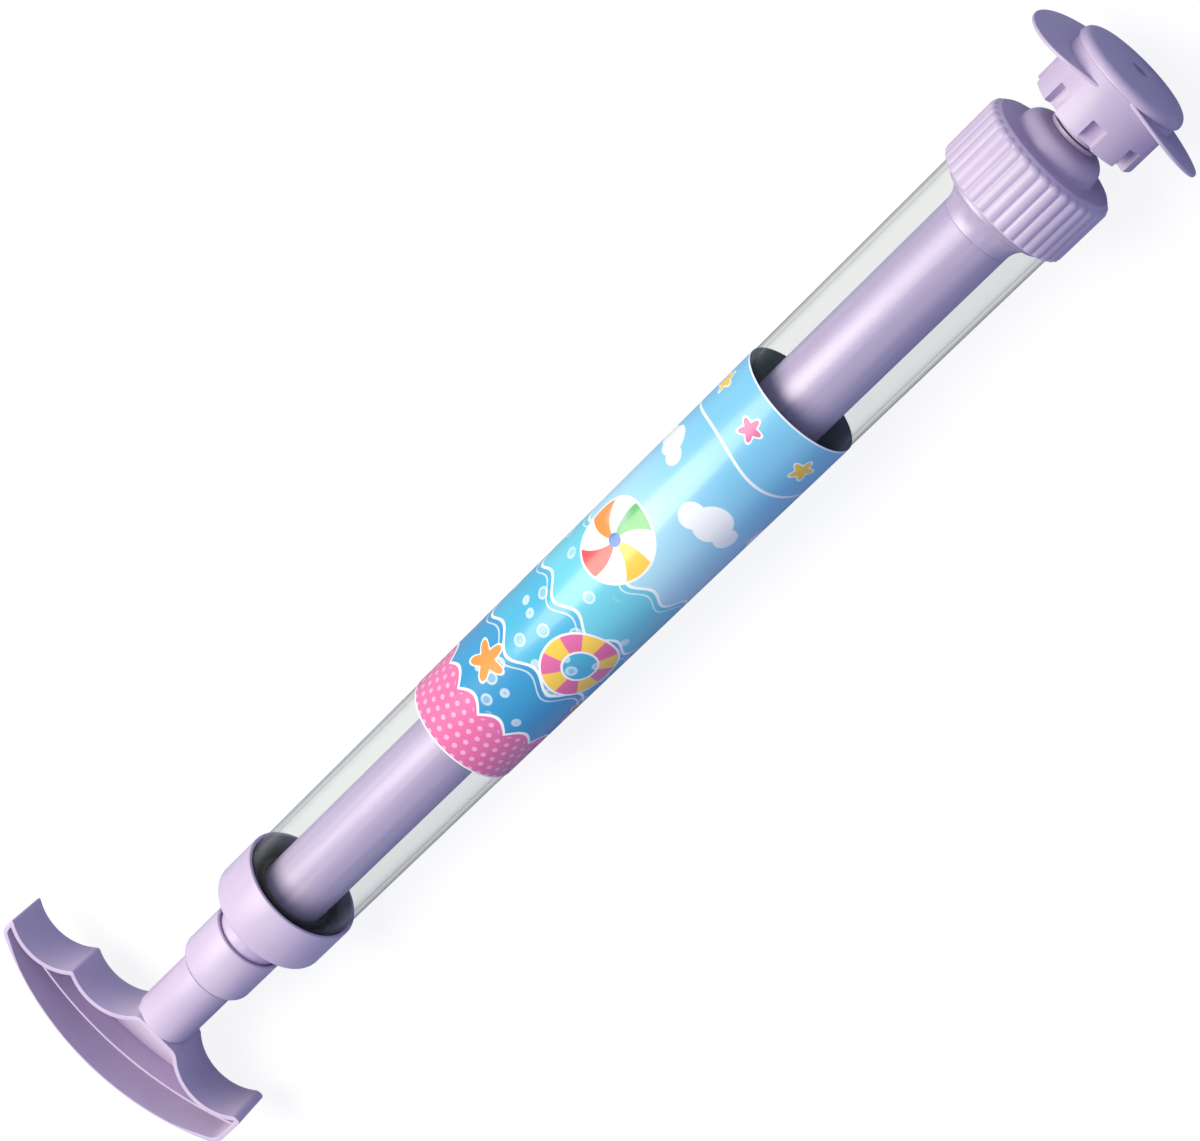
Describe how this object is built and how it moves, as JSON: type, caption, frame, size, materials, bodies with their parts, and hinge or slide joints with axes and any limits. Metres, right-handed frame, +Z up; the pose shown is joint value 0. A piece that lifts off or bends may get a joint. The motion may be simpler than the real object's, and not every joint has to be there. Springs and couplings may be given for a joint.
{
  "type": "water squirter",
  "caption": "Pull-type water squirter: clear barrel with a printed sleeve, piston rod with a scalloped T-grip, ribbed screw cap and a free-spinning winged nozzle.",
  "frame": {"origin": "On the barrel's axis at the middle of the clear tube.", "axes": "+X along the barrel toward the nozzle, +Y toward the grip's long arm, +Z up from the grip's open side."},
  "size_m": [0.4673, 0.0986, 0.0428],
  "materials": {
    "clear_plastic": "clear",
    "printed_film": "printed",
    "lavender_plastic": "satin",
    "rod_plastic": "pearl satin",
    "black_rubber": "matte",
    "steel": "bright"
  },
  "bodies": {
    "barrel": {"barrel_tube": "clear_plastic", "label_sleeve": "printed_film", "rear_cap": "lavender_plastic", "guide_bush": "black_rubber"},
    "piston_seals": {"piston_ring_front": "black_rubber", "piston_ring_rear": "black_rubber"},
    "plunger": {"rod_tube": "rod_plastic", "rod_plug": "lavender_plastic", "piston_head": "lavender_plastic", "piston_screw": "steel", "rod_collar": "lavender_plastic", "handle_grip": "lavender_plastic"},
    "cap_seal": {"cap_gasket": "black_rubber"},
    "cap": {"screw_cap": "lavender_plastic", "nozzle_spindle": "lavender_plastic", "spindle_seal": "black_rubber", "thrust_washer": "rod_plastic", "retaining_clip": "steel"},
    "spinner": {"spinner_drum": "lavender_plastic", "spinner_disc": "lavender_plastic"}
  },
  "joints": [
    {"name": "plunger_slide", "type": "slide", "parent": "barrel", "child": "piston_seals", "axis": [-1, 0, 0], "range_m": [-0.0055, 0.3]},
    {"name": "plunger_turn", "type": "hinge", "parent": "piston_seals", "child": "plunger", "pos_m": [0, 0, 0], "axis": [1, 0, 0], "continuous": true},
    {"name": "cap_advance", "type": "slide", "parent": "barrel", "child": "cap_seal", "axis": [1, 0, 0], "range_m": [0, 0.00905]},
    {"name": "cap_turn", "type": "hinge", "parent": "cap_seal", "child": "cap", "pos_m": [0.165, 0, 0], "axis": [1, 0, 0], "range_deg": [0, 1080]},
    {"name": "spinner_spin", "type": "hinge", "parent": "cap", "child": "spinner", "pos_m": [0.195, 0, 0], "axis": [1, 0, 0], "continuous": true}
  ],
  "couplings": [
    {"joint": "cap_advance", "follows": "cap_turn", "m_per_rad": 0.00047746}
  ]
}
